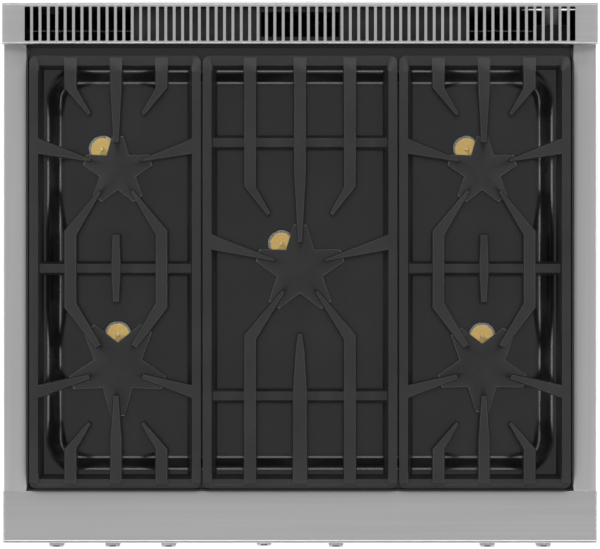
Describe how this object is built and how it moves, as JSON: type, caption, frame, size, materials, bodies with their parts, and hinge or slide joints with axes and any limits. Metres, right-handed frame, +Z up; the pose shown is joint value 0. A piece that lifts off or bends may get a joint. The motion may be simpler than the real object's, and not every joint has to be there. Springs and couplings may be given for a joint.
{
  "type": "freestanding gas range",
  "caption": "Freestanding gas range with cast grates over star burners, a front row of knobs, a rear vent trim and a drop-door convection oven.",
  "frame": {"origin": "on the floor, under the middle of the range's outline", "axes": "+X to the user's right, +Y to the back of the range, +Z up"},
  "size_m": [0.76, 0.6994, 0.941],
  "materials": {
    "stainless_panel": "brushed stainless sheet",
    "stainless_bar": "polished stainless bar",
    "galvanised_sheet": "galvanised sheet",
    "blue_black_enamel": "speckled vitreous enamel",
    "black_enamel": "glossy vitreous enamel",
    "cast_iron_black": "matte black enamelled casting",
    "cast_aluminium": "as cast",
    "igniter_brass": "plain brass",
    "valve_brass": "machined brass",
    "knob_finish": "satin plated",
    "bezel_steel": "satin ring",
    "zinc_steel": "zinc plated",
    "chromed_wire": "bright wire",
    "glass_wool": "fibre blanket",
    "woven_seal": "woven glass seal",
    "door_glass_clear": "tinted pane",
    "lamp_glass": "frosted lens",
    "black_plastic": "moulded",
    "motor_steel": "plain steel"
  },
  "bodies": {
    "chassis": {"side_panel_left": "stainless_panel", "side_panel_right": "stainless_panel", "rear_panel": "galvanised_sheet", "rear_screws": "zinc_steel", "base_pan": "galvanised_sheet", "front_frame": "galvanised_sheet", "toe_kick": "stainless_panel", "front_bullnose": "stainless_panel", "rear_vent_trim": "stainless_panel", "spill_tray": "black_enamel", "control_panel": "stainless_panel", "knob_bezels": "bezel_steel", "control_electrics": "black_plastic", "burner_bases": "cast_aluminium", "burner_igniters": "igniter_brass", "burner_caps_rear": "cast_iron_black", "burner_caps_front_and_centre": "cast_iron_black", "supply_tubes": "zinc_steel", "gas_manifold": "zinc_steel", "valve_bodies": "valve_brass", "pressure_regulator": "valve_brass", "oven_cavity": "blue_black_enamel", "oven_insulation": "glass_wool", "oven_flue": "galvanised_sheet", "rack_guides": "chromed_wire", "oven_floor": "blue_black_enamel", "oven_burners": "zinc_steel", "fan_motor": "motor_steel", "fan_baffle": "galvanised_sheet", "oven_lamps": "lamp_glass", "door_gasket": "woven_seal", "hinge_receivers": "zinc_steel", "power_cord_gland": "black_plastic"},
    "oven_door": {"door_outer_panel": "stainless_panel", "door_inner_liner": "blue_black_enamel", "door_glass": "door_glass_clear", "door_handle": "stainless_bar", "door_hinge_arms": "zinc_steel"},
    "rack_lower": {"oven_rack_lower": "chromed_wire"},
    "rack_upper": {"oven_rack_upper": "chromed_wire"},
    "fan": {"convection_fan": "motor_steel"},
    "mode_knob": {"knob_oven_mode": "knob_finish"},
    "temperature_knob": {"knob_oven_temperature": "knob_finish"},
    "grate_left": {"grate_left": "cast_iron_black"},
    "grate_centre": {"grate_centre": "cast_iron_black"},
    "grate_right": {"grate_right": "cast_iron_black"},
    "plug_left_front": {"valve_plug_left_front": "valve_brass"},
    "burner_knob_left_front": {"knob_left_front": "knob_finish"},
    "plug_left_rear": {"valve_plug_left_rear": "valve_brass"},
    "burner_knob_left_rear": {"knob_left_rear": "knob_finish"},
    "plug_centre": {"valve_plug_centre": "valve_brass"},
    "burner_knob_centre": {"knob_centre": "knob_finish"},
    "plug_right_rear": {"valve_plug_right_rear": "valve_brass"},
    "burner_knob_right_rear": {"knob_right_rear": "knob_finish"},
    "plug_right_front": {"valve_plug_right_front": "valve_brass"},
    "burner_knob_right_front": {"knob_right_front": "knob_finish"},
    "leg_front_left": {"leg_front_left": "zinc_steel"},
    "leg_front_right": {"leg_front_right": "zinc_steel"},
    "leg_rear_left": {"leg_rear_left": "zinc_steel"},
    "leg_rear_right": {"leg_rear_right": "zinc_steel"}
  },
  "joints": [
    {"name": "oven_door_hinge", "type": "hinge", "parent": "chassis", "child": "oven_door", "pos_m": [0, -0.2613, 0.13], "axis": [1, 0, 0], "range_deg": [0, 90], "stiffness_Nm_per_rad": 20, "springref_deg": -20.05},
    {"name": "rack_lower_slide", "type": "slide", "parent": "chassis", "child": "rack_lower", "axis": [0, -1, 0], "range_m": [0, 0.315]},
    {"name": "rack_upper_slide", "type": "slide", "parent": "chassis", "child": "rack_upper", "axis": [0, -1, 0], "range_m": [0, 0.315]},
    {"name": "fan_spin", "type": "hinge", "parent": "chassis", "child": "fan", "pos_m": [0, 0.2207, 0.43], "axis": [0, 1, 0], "continuous": true},
    {"name": "valve_turn_left_front", "type": "hinge", "parent": "chassis", "child": "plug_left_front", "pos_m": [-0.315, -0.3, 0.806], "axis": [0, -1, 0], "range_deg": [0, 210]},
    {"name": "knob_push_left_front", "type": "slide", "parent": "plug_left_front", "child": "burner_knob_left_front", "axis": [0, 1, 0], "range_m": [0, 0.003], "stiffness_N_per_m": 900, "springref_m": -0.002},
    {"name": "valve_turn_left_rear", "type": "hinge", "parent": "chassis", "child": "plug_left_rear", "pos_m": [-0.2425, -0.3, 0.806], "axis": [0, -1, 0], "range_deg": [0, 210]},
    {"name": "knob_push_left_rear", "type": "slide", "parent": "plug_left_rear", "child": "burner_knob_left_rear", "axis": [0, 1, 0], "range_m": [0, 0.003], "stiffness_N_per_m": 900, "springref_m": -0.002},
    {"name": "valve_turn_centre", "type": "hinge", "parent": "chassis", "child": "plug_centre", "pos_m": [-0.17, -0.3, 0.806], "axis": [0, -1, 0], "range_deg": [0, 210]},
    {"name": "knob_push_centre", "type": "slide", "parent": "plug_centre", "child": "burner_knob_centre", "axis": [0, 1, 0], "range_m": [0, 0.003], "stiffness_N_per_m": 900, "springref_m": -0.002},
    {"name": "valve_turn_right_rear", "type": "hinge", "parent": "chassis", "child": "plug_right_rear", "pos_m": [0.2425, -0.3, 0.806], "axis": [0, -1, 0], "range_deg": [0, 210]},
    {"name": "knob_push_right_rear", "type": "slide", "parent": "plug_right_rear", "child": "burner_knob_right_rear", "axis": [0, 1, 0], "range_m": [0, 0.003], "stiffness_N_per_m": 900, "springref_m": -0.002},
    {"name": "valve_turn_right_front", "type": "hinge", "parent": "chassis", "child": "plug_right_front", "pos_m": [0.315, -0.3, 0.806], "axis": [0, -1, 0], "range_deg": [0, 210]},
    {"name": "knob_push_right_front", "type": "slide", "parent": "plug_right_front", "child": "burner_knob_right_front", "axis": [0, 1, 0], "range_m": [0, 0.003], "stiffness_N_per_m": 900, "springref_m": -0.002},
    {"name": "mode_turn", "type": "hinge", "parent": "chassis", "child": "mode_knob", "pos_m": [-0.0465, -0.3, 0.806], "axis": [0, 1, 0], "range_deg": [0, 270]},
    {"name": "temperature_turn", "type": "hinge", "parent": "chassis", "child": "temperature_knob", "pos_m": [0.0465, -0.3, 0.806], "axis": [0, 1, 0], "range_deg": [0, 270]},
    {"name": "grate_left_lift", "type": "slide", "parent": "chassis", "child": "grate_left", "axis": [0, 0, 1], "range_m": [0, 0.12]},
    {"name": "grate_centre_lift", "type": "slide", "parent": "chassis", "child": "grate_centre", "axis": [0, 0, 1], "range_m": [0, 0.12]},
    {"name": "grate_right_lift", "type": "slide", "parent": "chassis", "child": "grate_right", "axis": [0, 0, 1], "range_m": [0, 0.12]},
    {"name": "leg_front_left_screw", "type": "slide", "parent": "chassis", "child": "leg_front_left", "axis": [0, 0, -1], "range_m": [0, 0.022]},
    {"name": "leg_front_right_screw", "type": "slide", "parent": "chassis", "child": "leg_front_right", "axis": [0, 0, -1], "range_m": [0, 0.022]},
    {"name": "leg_rear_left_screw", "type": "slide", "parent": "chassis", "child": "leg_rear_left", "axis": [0, 0, -1], "range_m": [0, 0.022]},
    {"name": "leg_rear_right_screw", "type": "slide", "parent": "chassis", "child": "leg_rear_right", "axis": [0, 0, -1], "range_m": [0, 0.022]}
  ],
  "couplings": [
    {"joint": "rack_lower_slide", "follows": "oven_door_hinge", "m_per_rad": 0.2},
    {"joint": "rack_upper_slide", "follows": "oven_door_hinge", "m_per_rad": 0.2}
  ]
}
